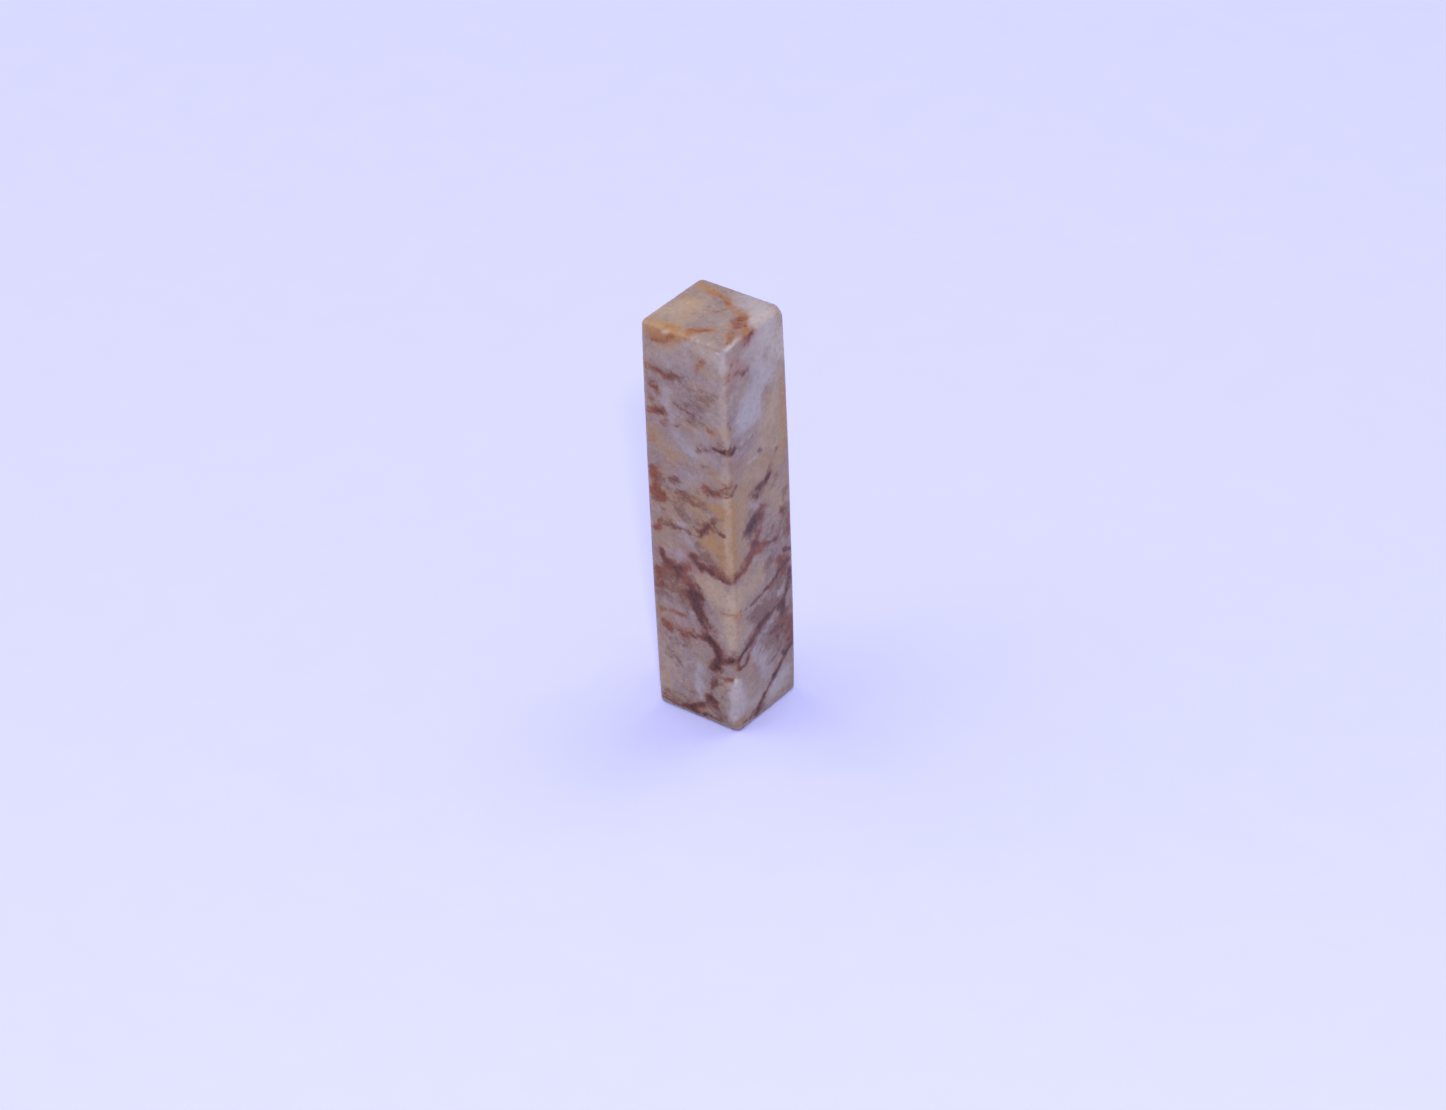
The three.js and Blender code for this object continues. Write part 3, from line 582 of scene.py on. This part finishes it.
topVeins = {
    "warm": [
        (2.6, 0.5, (2, 3.4), (2.6, 6.6)), (1.6, 0.4, (4, 5), (4.4, 3.4)),
    ],
    "cream": [
        (1.8, 0.5, (1.6, 3.4), (2.4, 6.6)), (1.6, 0.35, (4.6, 2.6), (5.4, 5.4)),
    ],
    "milk": [
        (1.8, 0.85, (8, 10.2), (11, 8.6)), (1.2, 0.5, (10.8, 7.4), (11.6, 6.4)),
        (1.2, 0.35, (6.6, 5.8), (8.4, 4.4)), (1.2, 0.35, (5.4, 10.4), (7, 10.2)),
    ],
    "frostAndSheen": [
        (2.2, 0.18, (2.2, 3.4), (3.2, 6.2)),
    ],
    "ochre": [
        (0.8, 0.7, (2.6, 0.9), (4.7, 0.9)), (1, 0.5, (1.2, 6.8), (2.8, 6.6)),
        (0.8, 0.35, (3.6, 5.2), (4.2, 4)), (0.5, 0.65, (9.4, 4.4), (10.1, 4.4)),
        (0.6, 0.6, (10.4, 3.4), (10.9, 2.4)), (0.9, 0.6, (1.2, 10), (4, 9.4)),
    ],
    "rose": [
        (1, 0.6, (9.4, 5.4), (11, 4)),
    ],
    "brown": [
        (0.9, 0.4, (9.6, 5.6), (10.6, 4.8)), (0.6, 0.5, (10.6, 3.2), (11.4, 1.8)),
        (1.4, 0.3, (4.6, 7.8), (6.6, 6.6)),
    ],
    "orange": [
        (0.5, 0.5, (3.4, 0.9), (4.7, 0.7)), (0.7, 0.5, (1, 10.2), (2, 9.8), (3.4, 9.4)),
        (0.62, 0.85, (3.4, 9.2), (4.6, 9.2), (5.5, 8.9), (6.3, 8.4), (7, 7.8)),
        (0.62, 0.95, (8.4, 7.3), (9.3, 7), (10.2, 6.4), (10.9, 5.8), (11.4, 4.8)),
        (0.5, 0.9, (10.5, 3), (11, 2), (11.5, 1.3)), (0.85, 1, (6.7, 1.5), (7.2, 1.9), (8, 2.4)),
        (0.4, 0.8, (6.6, 1.4), (6.8, 0.4)),
    ],
    "rust": [
        (0.3, 0.5, (4.6, 9), (6.4, 8.2)), (0.6, 0.5, (9.6, 5.8), (10.4, 4.8)),
        (0.4, 0.6, (9.2, 7), (10.2, 6.4), (10.8, 5.8)), (0.35, 0.6, (10.9, 2.2), (11.5, 1.3)),
        (0.6, 0.72, (6.6, 1.6), (7.9, 2.3)),
    ],
}

# Beds that run through the whole stone, seen at full strength on the sides without strokes of their own:
# pigment, size in mm, the noise at which the colour starts and at which it is full, and its strength.
beds = [
    ("warm", 7.0, -0.1, 0.6, 0.7),
    ("cream", 6.0, 0.1, 0.8, 0.75),
    ("milk", 5.0, 0.05, 0.7, 0.75),
    ("ochre", 4.5, 0.2, 0.8, 0.65),
    ("rose", 4.0, 0.3, 0.9, 0.5),
    ("brown", 3.4, 0.1, 0.8, 0.75),
    ("rust", 3.0, 0.4, 0.95, 0.7),
]

# Dark veins on those sides, where a noise passes through its middle: pigment, size in mm, thickness and
# strength.
seams = [
    ("rust", 6.0, 0.34, 0.7),
    ("plum", 6.0, 0.2, 0.95),
    ("plum", 4.0, 0.16, 0.7),
]

veining = {
    "pigments": ("warm", "cream", "milk", "frostAndSheen", "ochre", "rose", "brown", "orange", "rust", "plum",
                 "bruiseAndGlint"),
    "riseLeft": 0.33,          # how steeply the beds rise from the near edge to the left
    "riseBack": (0.5, 1.1),    # and to the back, at the lower and at the upper of these heights, mm
    "riseHeights": (15, 45),
    "stretch": 0.6,            # patterns are this much finer across the beds than along them
    "halo": (2.0, 0.35),       # the rust round a plum vein: its spread, of the vein's own, and its share
    "waver": (0.24, 0.14),     # how far the colour strays from its line, mm, in slow and in quick waves
    "waverSize": (2.6, 0.8),
    "uneven": 0.45,            # how much a stroke swells and thins
    "unevenSize": 1.7,
    "bedWaver": 1.1,
    "bedWaverSize": 6.0,
    "seamPresence": 6.0,       # size of the places where a dark vein comes and goes
    "between": 0.12,           # share of the beds seen between the strokes
    "hidden": (0.3, 0.8),      # how squarely a place faces left, back or down, from shown to hidden
    # Edges are paled here: wear, and a painted sheen along the rounded edges.
    "worn": (0.97, 0.78),      # how squarely it faces any side, from the flat to the middle of an edge
    "flakePale": 0.22,         # how pale an old flake is, of a fresh bruise
    "seeds": {"waver": 31, "bed": 34, "uneven": 38, "beds": 40, "seams": 50, "seamPresence": 60},
}


def onFront(across, up):
    return across - halfX, drawnIn(up) - halfY, up


def onRight(across, up):
    return halfX - drawnIn(up), across - halfY, up


def onTop(across, back):
    return across - halfX, back - halfY, height


def lineDistance(points, line):
    # The distance to the nearest piece of a line of straight runs.
    nearest = np.full(len(points), np.inf)
    for start, end in zip(line, line[1:]):
        run = end - start
        share = np.clip((points - start) @ run / (run @ run), 0, 1)
        nearest = np.minimum(nearest, np.linalg.norm(points - start - share[:, None] * run, axis=1))
    return nearest


def bedPlaces(points):
    # Where a point lies in the beds: its level is its height at the near edge, less what the bed rises
    # from there to the point. Along the beds the places are drawn together.
    riseBack = np.interp(points[:, 2], veining["riseHeights"], veining["riseBack"])
    level = points[:, 2] - veining["riseLeft"] * (halfX - points[:, 0]) - riseBack * (points[:, 1] + halfY)
    level = level + veining["bedWaver"] * cloud(points, veining["bedWaverSize"], veining["seeds"]["bed"], 4)
    return np.stack([points[:, 0] * veining["stretch"], points[:, 1] * veining["stretch"], level], axis=1)


def paintStone(points, normals, places):
    # Each stroke leaves bare 1 - strength x exp(-(distance / spread)^2) of what was bare, and the pigment
    # covers the rest. The points are shifted by noise first, so that no line runs straight. Plum has rust
    # round it. The beds and the dark veins through the stone cover more in the same way.
    seeds = veining["seeds"]
    strayed = points.copy()
    for turn, (far, size) in enumerate(zip(veining["waver"], veining["waverSize"])):
        shift = [cloud(points, size, seeds["waver"] + 3 * turn + axis) for axis in range(3)]
        strayed += far * np.stack(shift, axis=1)
    swell = 1 + veining["uneven"] * cloud(points, veining["unevenSize"], seeds["uneven"])
    swell = np.clip(swell, 0.4, 2)
    bare = {name: np.ones(len(points)) for name in veining["pigments"]}
    for face, veins in ((onFront, frontVeins), (onRight, rightVeins), (onTop, topVeins)):
        for pigment, strokes in veins.items():
            for reach, strength, *line in strokes:
                near = lineDistance(strayed, [np.array(face(*place)) for place in line]) / reach / swell
                bare[pigment] *= 1 - strength * np.exp(-near ** 2)
                if pigment == "plum":
                    spread, weight = veining["halo"]
                    bare["rust"] *= 1 - strength * weight * np.exp(-(near / spread) ** 2)
    away = np.maximum(np.maximum(-normals[:, 0], normals[:, 1]), -normals[:, 2])
    shown = veining["between"] + (1 - veining["between"]) * smoothStep(*veining["hidden"], away)
    for number, (pigment, size, low, high, strength) in enumerate(beds):
        bed = smoothStep(low, high, cloud(places, size, seeds["beds"] + number, 4))
        bare[pigment] *= 1 - strength * shown * bed
    for number, (pigment, size, thickness, strength) in enumerate(seams):
        seam = 1 - smoothStep(0, thickness, np.abs(cloud(places, size, seeds["seams"] + number)))
        presence = cloud(points, veining["seamPresence"], seeds["seamPresence"] + number)
        bare[pigment] *= 1 - strength * shown * seam * smoothStep(-0.2, 0.5, presence)
    return {name: 1 - left for name, left in bare.items()}


def meshFrom(name, points, faces, values):
    # A smooth shaded mesh in metres, with a number or a vector a point for each entry of values.
    mesh = bpy.data.meshes.new(name)
    mesh.from_pydata((points * mm).tolist(), [], faces.tolist())
    mesh.polygons.foreach_set("use_smooth", np.ones(len(faces), bool))
    for title, numbers in values.items():
        kind, entry = ("FLOAT_VECTOR", "vector") if numbers.ndim == 2 else ("FLOAT", "value")
        attribute = mesh.attributes.new(title, kind, "POINT")
        attribute.data.foreach_set(entry, numbers.astype(np.float32).ravel())
    mesh.update()
    return mesh


places = bedPlaces(points)
values = paintStone(points, normals, places)
# The pale of the flakes and the painted glints share one attribute.
values["bruiseAndGlint"] = np.maximum(values["bruiseAndGlint"], veining["flakePale"] * bruiseAndGlint)
# How near a point is to the middle of a rounded edge, where wear and a painted sheen pale it.
values["edge"] = smoothStep(*veining["worn"], np.abs(normals).max(axis=1))
values["bedPlace"] = places
stone = bpy.data.objects.new("seal_stone_veined", meshFrom("seal_stone_veined", points, faces, values))
bpy.context.scene.collection.objects.link(stone)
print("stone painted:", ", ".join(values))


# Shader helpers

def newNode(tree, kind, sockets=None, **settings):
    # Adds a node. A socket given another node's output is linked to it, and one given a number or a colour
    # keeps it.
    node = tree.nodes.new(kind)
    for name, value in settings.items():
        setattr(node, name, value)
    for name, value in (sockets or {}).items():
        if isinstance(value, bpy.types.NodeSocket):
            tree.links.new(value, node.inputs[name])
        else:
            node.inputs[name].default_value = value
    return node


def newGroup(name, inputs, outputs):
    # An empty node group with its sockets, given as name: socket type.
    tree = bpy.data.node_groups.new(name, "ShaderNodeTree")
    for title, kind in inputs.items():
        tree.interface.new_socket(title, in_out="INPUT", socket_type=kind)
    for title, kind in outputs.items():
        tree.interface.new_socket(title, in_out="OUTPUT", socket_type=kind)
    return tree, tree.nodes.new("NodeGroupInput").outputs, tree.nodes.new("NodeGroupOutput").inputs


def maths(tree, operation, first, second=0.5):
    return newNode(tree, "ShaderNodeMath", {0: first, 1: second}, operation=operation).outputs[0]


def vectorMaths(tree, operation, first, second):
    return newNode(tree, "ShaderNodeVectorMath", {0: first, 1: second}, operation=operation).outputs[0]


def mixed(tree, share, first, second):
    # The sockets of a Mix node for colours: 0 is the share, 6 and 7 the colours, and 2 comes out.
    return newNode(tree, "ShaderNodeMix", {0: share, 6: first, 7: second}, data_type="RGBA").outputs[2]


def ramped(tree, value, low, high):
    sockets = {"Value": value, "From Min": low, "From Max": high}
    node = newNode(tree, "ShaderNodeMapRange", sockets, interpolation_type="SMOOTHSTEP")
    return node.outputs[0]


def colour(red, green, blue):
    # A colour as it is read off a screen, 0 to 255, turned into the light values that a shader takes.
    def light(part):
        return part / 255 / 12.92 if part <= 10 else ((part / 255 + 0.055) / 1.055) ** 2.4
    return light(red), light(green), light(blue), 1.0


def patternGroup(name, detail, roughness, distortion):
    # A noise in millimetres, seeded by its fourth dimension, drawn out to 0 at Low and 1 at High.
    sockets = {"Vector": "NodeSocketVector", "Seed": "NodeSocketFloat", "Scale": "NodeSocketFloat"}
    sockets |= {"Low": "NodeSocketFloat", "High": "NodeSocketFloat"}
    tree, given, result = newGroup(name, sockets, {"Mask": "NodeSocketFloat"})
    noise = newNode(tree, "ShaderNodeTexNoise", {
        "Vector": given["Vector"], "W": given["Seed"], "Scale": given["Scale"], "Detail": detail,
        "Roughness": roughness, "Distortion": distortion}, noise_dimensions="4D")
    tree.links.new(ramped(tree, noise.outputs["Fac"], given["Low"], given["High"]), result["Mask"])
    return tree


def raggedGroup():
    # Where a pigment shows: a centred noise times Raggedness and the net times Netted are added to its
    # amount wherever there is any, and the sum covers the stone from 0 at Low to 1 at High.
    titles = "Seed", "Scale", "Amount", "Raggedness", "Net", "Netted", "Low", "High"
    sockets = {"Vector": "NodeSocketVector"} | {title: "NodeSocketFloat" for title in titles}
    tree, given, result = newGroup("Ragged edge", sockets, {"Mask": "NodeSocketFloat"})
    noise = newNode(tree, "ShaderNodeTexNoise", {
        "Vector": given["Vector"], "W": given["Seed"], "Scale": given["Scale"], "Detail": 5.0,
        "Roughness": 0.6, "Distortion": 0.2}, noise_dimensions="4D")
    centred = maths(tree, "SUBTRACT", noise.outputs["Fac"], 0.5)
    strewn = maths(tree, "MULTIPLY", centred, given["Raggedness"])
    strewn = maths(tree, "ADD", strewn, maths(tree, "MULTIPLY", given["Net"], given["Netted"]))
    strewn = maths(tree, "MULTIPLY", strewn, ramped(tree, given["Amount"], 0.0, 0.4))
    total = maths(tree, "ADD", given["Amount"], strewn)
    tree.links.new(ramped(tree, total, given["Low"], given["High"]), result["Mask"])
    return tree


def netGroup():
    # The seams between broken pieces of stone that have healed: 0.5 on a seam and -0.5 inside a piece, by
    # the distance to the border of a warped cell. A finer net of the same kind is added at a third.
    sockets = {"Vector": "NodeSocketVector", "Scale": "NodeSocketFloat"}
    tree, given, result = newGroup("Healed seams", sockets, {"Net": "NodeSocketFloat"})
    noise = newNode(tree, "ShaderNodeTexNoise", {
        "Vector": given["Vector"], "Scale": maths(tree, "MULTIPLY", given["Scale"], 1.9), "Detail": 4.0,
        "Roughness": 0.62})
    warp = vectorMaths(tree, "SUBTRACT", noise.outputs["Color"], (0.5,) * 3)
    spot = vectorMaths(tree, "ADD", given["Vector"], vectorMaths(tree, "MULTIPLY", warp, (2.6,) * 3))
    nets = []
    for times in (1.0, 2.7):
        scale = maths(tree, "MULTIPLY", given["Scale"], times)
        cells = newNode(tree, "ShaderNodeTexVoronoi", {"Vector": spot, "Scale": scale},
                        feature="DISTANCE_TO_EDGE")
        nets.append(maths(tree, "SUBTRACT", ramped(tree, cells.outputs["Distance"], 0.3, 0.0), 0.5))
    fine = maths(tree, "MULTIPLY", nets[1], 0.33)
    tree.links.new(maths(tree, "ADD", nets[0], fine), result["Net"])
    return tree


def hairlineGroup():
    # Thin branching lines where a noise passes through its middle: 1 - |noise - 0.5| / Width.
    sockets = {"Vector": "NodeSocketVector", "Seed": "NodeSocketFloat", "Scale": "NodeSocketFloat",
               "Width": "NodeSocketFloat"}
    tree, given, result = newGroup("Hairline veins", sockets, {"Mask": "NodeSocketFloat"})
    noise = newNode(tree, "ShaderNodeTexNoise", {
        "Vector": given["Vector"], "W": given["Seed"], "Scale": given["Scale"], "Detail": 6.0,
        "Roughness": 0.6, "Distortion": 0.2}, noise_dimensions="4D")
    away = maths(tree, "ABSOLUTE", maths(tree, "SUBTRACT", noise.outputs["Fac"], 0.5))
    tree.links.new(ramped(tree, away, given["Width"], 0.0), result["Mask"])
    return tree


def pattern(tree, group, vector, scale, **numbers):
    return newNode(tree, "ShaderNodeGroup", {"Vector": vector, "Scale": scale} | numbers,
                   node_tree=group).outputs[0]


softCloud = patternGroup("Soft cloud", 5.0, 0.58, 0.2)
fineMottle = patternGroup("Fine mottle", 5.0, 0.7, 0.2)
raggedEdge = raggedGroup()
healedSeams = netGroup()
hairlines = hairlineGroup()


# The stone's finish

stoneFinish = {
    "greyLilac": colour(144, 124, 112),
    "pinkGrey": colour(152, 126, 106),
    "khaki": colour(154, 132, 94),
    "warm": colour(160, 130, 90),
    "dusky": colour(114, 84, 74),
    "pale": colour(182, 164, 140),
    "cream": colour(177, 152, 115),
    "milk": colour(170, 162, 154),
    # Pale zones, and the colour of the painted sheen down the near edge.
    "frostAndSheen": colour(208, 194, 168),
    "ochre": colour(166, 124, 69),
    "rose": colour(150, 100, 80),
    "brown": colour(112, 76, 52),
    "orange": colour(160, 104, 44),
    "rust": colour(136, 68, 22),
    "rustDeep": colour(106, 54, 26),
    "plum": colour(58, 27, 12),
    "plumEdge": colour(106, 62, 42),
    # Rubbed edges: wear, and a painted sheen along the rounded edges.
    "rubbedAndSheen": colour(192, 172, 138),
    # The pale of broken stone, which is also the colour of the painted glints.
    "bruiseAndGlint": colour(222, 212, 190),
    "shine": (0.16, 0.32),     # least and most roughness of the polish
    "dull": 0.35,              # how much rougher broken stone is
    "gloss": 0.27,             # strength of the polish's reflections
    "depth": 0.3,              # how much of the light goes into the stone
    "scatter": (1.5, 1, 0.8),  # how far its red, green and blue go there, mm
    "pits": 3.2,               # pits in the polish, their scale
    "pitDepth": 0.02,
}


def amount(tree, pigment):
    return newNode(tree, "ShaderNodeAttribute", attribute_name=pigment).outputs["Fac"]


def laid(tree, body, mask, most, finish):
    # Lays a finish over the body: it hides the mask's share, times the most that it may hide.
    return mixed(tree, maths(tree, "MULTIPLY", mask, most), body, stoneFinish[finish])


def groundColour(tree, place, bed):
    # Grey and pink, broken by khaki clouds, dark mottles and pale flecks.
    greys = pattern(tree, softCloud, bed, 0.5, Seed=1.0, Low=0.38, High=0.62)
    body = mixed(tree, greys, stoneFinish["greyLilac"], stoneFinish["pinkGrey"])
    clouds = pattern(tree, softCloud, bed, 0.6, Seed=2.0, Low=0.5, High=0.72)
    body = laid(tree, body, clouds, 0.8, "khaki")
    mottles = pattern(tree, fineMottle, place, 1.1, Seed=3.0, Low=0.46, High=0.7)
    body = laid(tree, body, mottles, 0.42, "dusky")
    flecks = pattern(tree, fineMottle, place, 1.3, Seed=4.0, Low=0.47, High=0.74)
    return laid(tree, body, flecks, 0.5, "pale")


def softZones(tree, place, bed, body):
    # Broad zones of one tone each, frost and the painted sheen of the near edge over them, then thin dark
    # and pale grain over all.
    for number, name in enumerate(("warm", "cream", "milk", "ochre", "rose")):
        zone = pattern(tree, raggedEdge, bed, 0.7, Seed=10.0 + number, Amount=amount(tree, name),
                       Raggedness=0.9, Low=0.1, High=0.95)
        body = laid(tree, body, zone, 0.9, name)
    body = laid(tree, body, amount(tree, "frostAndSheen"), 0.8, "frostAndSheen")
    thin = pattern(tree, fineMottle, place, 1.8, Seed=15.0, Low=0.47, High=0.7)
    body = laid(tree, body, thin, 0.33, "dusky")
    grain = pattern(tree, fineMottle, place, 2.6, Seed=16.0, Low=0.48, High=0.7)
    return laid(tree, body, grain, 0.25, "pale")


def stainsAndVeins(tree, place, net, body):
    # Mottled brown, then orange, then rust in two tones, then the dark veins: a stain round a core.
    brown = pattern(tree, raggedEdge, place, 1.9, Seed=20.0, Amount=amount(tree, "brown"), Raggedness=1.7,
                    Net=net, Netted=0.45, Low=0.1, High=0.95)
    body = laid(tree, body, brown, 0.72, "brown")
    orange = pattern(tree, raggedEdge, place, 1.5, Seed=21.0, Amount=amount(tree, "orange"), Raggedness=1.3,
                     Low=0.1, High=1.0)
    body = laid(tree, body, orange, 0.85, "orange")
    tones = pattern(tree, fineMottle, place, 1.6, Seed=22.0, Low=0.42, High=0.62)
    tone = mixed(tree, tones, stoneFinish["rust"], stoneFinish["rustDeep"])
    rust = pattern(tree, raggedEdge, place, 2.1, Seed=23.0, Amount=amount(tree, "rust"), Raggedness=1.5,
                   Net=net, Netted=0.35, Low=0.06, High=0.95)
    dense = pattern(tree, fineMottle, place, 1.7, Seed=28.0, Low=0.36, High=0.6)
    dense = maths(tree, "ADD", maths(tree, "MULTIPLY", dense, 0.26), 0.74)
    body = mixed(tree, maths(tree, "MULTIPLY", rust, dense), body, tone)
    stain = pattern(tree, raggedEdge, place, 2.1, Seed=24.0, Amount=amount(tree, "plum"), Raggedness=1.6,
                    Net=net, Netted=0.3, Low=0.02, High=0.75)
    body = laid(tree, body, stain, dense, "plumEdge")
    core = pattern(tree, raggedEdge, place, 2.6, Seed=25.0, Amount=amount(tree, "plum"), Raggedness=1.7,
                   Net=net, Netted=0.25, Low=0.34, High=1.15)
    return laid(tree, body, core, 0.86, "plum")


def hairlineVeins(tree, place, body):
    # Hairlines run where the stone is dark: by its plum, six tenths of its rust and four of its brown.
    dark = maths(tree, "ADD", amount(tree, "plum"), maths(tree, "MULTIPLY", amount(tree, "rust"), 0.6))
    dark = maths(tree, "ADD", dark, maths(tree, "MULTIPLY", amount(tree, "brown"), 0.4))
    lines = pattern(tree, hairlines, place, 0.5, Seed=26.0, Width=0.03)
    lines = maths(tree, "MULTIPLY", lines, ramped(tree, dark, 0.1, 0.7))
    return laid(tree, body, lines, 0.7, "plumEdge")


def wornEdges(tree, place, body):
    # Edges are rubbed paler, which is wear and also a painted sheen on the rounded edges, and broken stone
    # is paler still, as are the painted glints.
    rubbedAndSheen = pattern(tree, raggedEdge, place, 0.8, Seed=27.0, Amount=amount(tree, "edge"), Raggedness=1.2,
                     Low=0.3, High=1.2)
    body = laid(tree, body, rubbedAndSheen, 0.14, "rubbedAndSheen")
    return laid(tree, body, amount(tree, "bruiseAndGlint"), 0.7, "bruiseAndGlint")


def veinedStone():
    # The colours are laid bottom up. The polish wanders a little and is dull where the stone is broken and
    # where the glints are painted.
    finish = stoneFinish
    material = bpy.data.materials.new("veined_stone")
    material.use_nodes = True
    tree = material.node_tree
    tree.nodes.clear()
    metres = newNode(tree, "ShaderNodeTexCoord").outputs["Object"]
    place = vectorMaths(tree, "MULTIPLY", metres, (1 / mm,) * 3)
    bed = newNode(tree, "ShaderNodeAttribute", attribute_name="bedPlace").outputs["Vector"]
    net = pattern(tree, healedSeams, bed, 0.42)
    body = groundColour(tree, place, bed)
    body = softZones(tree, place, bed, body)
    body = stainsAndVeins(tree, place, net, body)
    body = hairlineVeins(tree, place, body)
    body = wornEdges(tree, place, body)
    wander = pattern(tree, softCloud, place, 0.9, Seed=30.0, Low=0.3, High=0.7)
    shine = newNode(tree, "ShaderNodeMapRange", {"Value": wander, "To Min": finish["shine"][0],
                                                 "To Max": finish["shine"][1]}).outputs[0]
    shine = maths(tree, "ADD", shine, maths(tree, "MULTIPLY", amount(tree, "bruiseAndGlint"), finish["dull"]))
    pits = newNode(tree, "ShaderNodeTexNoise", {"Vector": place, "Scale": finish["pits"], "Detail": 4.0})
    bump = newNode(tree, "ShaderNodeBump", {"Height": pits.outputs["Fac"], "Strength": 0.12,
                                            "Distance": finish["pitDepth"] * mm})
    surface = newNode(tree, "ShaderNodeBsdfPrincipled", {
        "Base Color": body, "Roughness": shine, "Normal": bump.outputs[0], "IOR": 1.53,
        "Specular IOR Level": finish["gloss"], "Subsurface Weight": finish["depth"],
        "Subsurface Radius": finish["scatter"], "Subsurface Scale": mm,
    })
    newNode(tree, "ShaderNodeOutputMaterial", {"Surface": surface.outputs[0]})
    return material


stone.data.materials.append(veinedStone())
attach(stone, "root")
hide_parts("seal_stone")
print("stone finished")


# The sheet that it stands on, the light and the camera

setting = {
    "floorSize": 6.0,                       # metres
    "floor": colour(216, 219, 255),
    "fibreScale": 160.0,
    "fibreTone": 0.985,                     # the paper's darker fibres, of its own tone
    "sky": colour(231, 230, 255),
    "skyLevel": 0.71,
    "camera": {"azimuth": 38.19, "elevation": 33.72, "roll": -2.42, "distance": 509.04, "lens": 112.03,
               "slideX": 0.324, "slideY": -5.316},
    # Each lamp: the direction it stands in, from above and up from the floor in degrees, its distance and
    # size in metres, its share of the light on the floor, and its colour.
    "lamps": {
        "window": (204, 48, 1.5, 2.0, 0.3, colour(246, 240, 255)),
        "ceiling": (75, 70, 1.5, 0.7, 0.2, colour(242, 236, 255)),
        "lamp": (-50, 42, 0.52, 0.03, 0.24, colour(214, 218, 255)),
    },
}


def makeFloor():
    side = setting["floorSize"] / 2
    under = -0.02 * mm  # just clear of the carved foot
    corners = [(-side, -side, under), (side, -side, under), (side, side, under), (-side, side, under)]
    mesh = bpy.data.meshes.new("paper")
    mesh.from_pydata(corners, [], [(0, 1, 2, 3)])
    floor = bpy.data.objects.new("paper", mesh)
    bpy.context.scene.collection.objects.link(floor)
    material = bpy.data.materials.new("pale_paper")
    material.use_nodes = True
    tree = material.node_tree
    surface = tree.nodes["Principled BSDF"]
    place = newNode(tree, "ShaderNodeTexCoord").outputs["Object"]
    fibres = newNode(tree, "ShaderNodeTexNoise", {
        "Vector": place, "Scale": setting["fibreScale"], "Detail": 5.0})
    duller = tuple(setting["fibreTone"] * part for part in setting["floor"])
    tone = mixed(tree, ramped(tree, fibres.outputs["Fac"], 0.2, 0.8), setting["floor"], duller)
    tree.links.new(tone, surface.inputs["Base Color"])
    surface.inputs["Roughness"].default_value = 0.9
    surface.inputs["Specular IOR Level"].default_value = 0.1
    mesh.materials.append(material)


def makeLamps():
    # A lamp's power for its share of the light on the floor: share x pi^2 x distance^2 / sin(elevation).
    for name, (turn, up, distance, size, share, tint) in setting["lamps"].items():
        turn, up = math.radians(turn), math.radians(up)
        way = Vector((math.cos(turn) * math.cos(up), math.sin(turn) * math.cos(up), math.sin(up)))
        light = bpy.data.lights.new(name, "AREA")
        light.shape = "DISK"
        light.size = size
        light.energy = share * math.pi ** 2 * distance ** 2 / math.sin(up)
        light.color = tint[:3]
        lamp = bpy.data.objects.new(name, light)
        lamp.location = way * distance
        lamp.rotation_euler = way.to_track_quat("Z", "Y").to_euler()
        bpy.context.scene.collection.objects.link(lamp)


def makeSky():
    # Plain light from all round. The camera and mirrors see the paper's own pale tone instead.
    world = bpy.data.worlds.new("room")
    world.use_nodes = True
    tree = world.node_tree
    tree.nodes.clear()
    path = newNode(tree, "ShaderNodeLightPath")
    seen = maths(tree, "MAXIMUM", path.outputs["Is Camera Ray"], path.outputs["Is Glossy Ray"])
    seen = maths(tree, "MAXIMUM", seen, path.outputs["Is Transmission Ray"])
    sky = newNode(tree, "ShaderNodeBackground", {"Color": setting["sky"], "Strength": setting["skyLevel"]})
    backdrop = newNode(tree, "ShaderNodeBackground", {"Color": setting["floor"], "Strength": 1.0})
    both = newNode(tree, "ShaderNodeMixShader", {0: seen, 1: sky.outputs[0], 2: backdrop.outputs[0]})
    newNode(tree, "ShaderNodeOutputWorld", {"Surface": both.outputs[0]})
    bpy.context.scene.world = world


def makeCamera():
    # The camera looks at the middle of the stone from its azimuth and elevation, turned by its roll, and
    # slides a little across its own frame.
    aim = setting["camera"]
    turn, up, roll = (math.radians(aim[name]) for name in ("azimuth", "elevation", "roll"))
    back = Vector((math.sin(turn) * math.cos(up), -math.cos(turn) * math.cos(up), math.sin(up)))
    level = Vector((math.cos(turn), math.sin(turn), 0))
    upright = back.cross(level)
    right = math.cos(roll) * level + math.sin(roll) * upright
    above = math.cos(roll) * upright - math.sin(roll) * level
    place = Vector((0, 0, height / 2)) + back * aim["distance"]
    place = place + right * aim["slideX"] + above * aim["slideY"]
    lens = bpy.data.cameras.new("camera")
    lens.lens = aim["lens"]
    lens.sensor_width = 36
    camera = bpy.data.objects.new("camera", lens)
    turned = Matrix((right, above, back)).transposed().to_4x4()
    camera.matrix_world = Matrix.Translation(place * mm) @ turned
    bpy.context.scene.collection.objects.link(camera)
    bpy.context.scene.camera = camera


makeFloor()
makeLamps()
makeSky()
makeCamera()
bpy.context.scene.view_settings.view_transform = "Standard"
print("scene set")
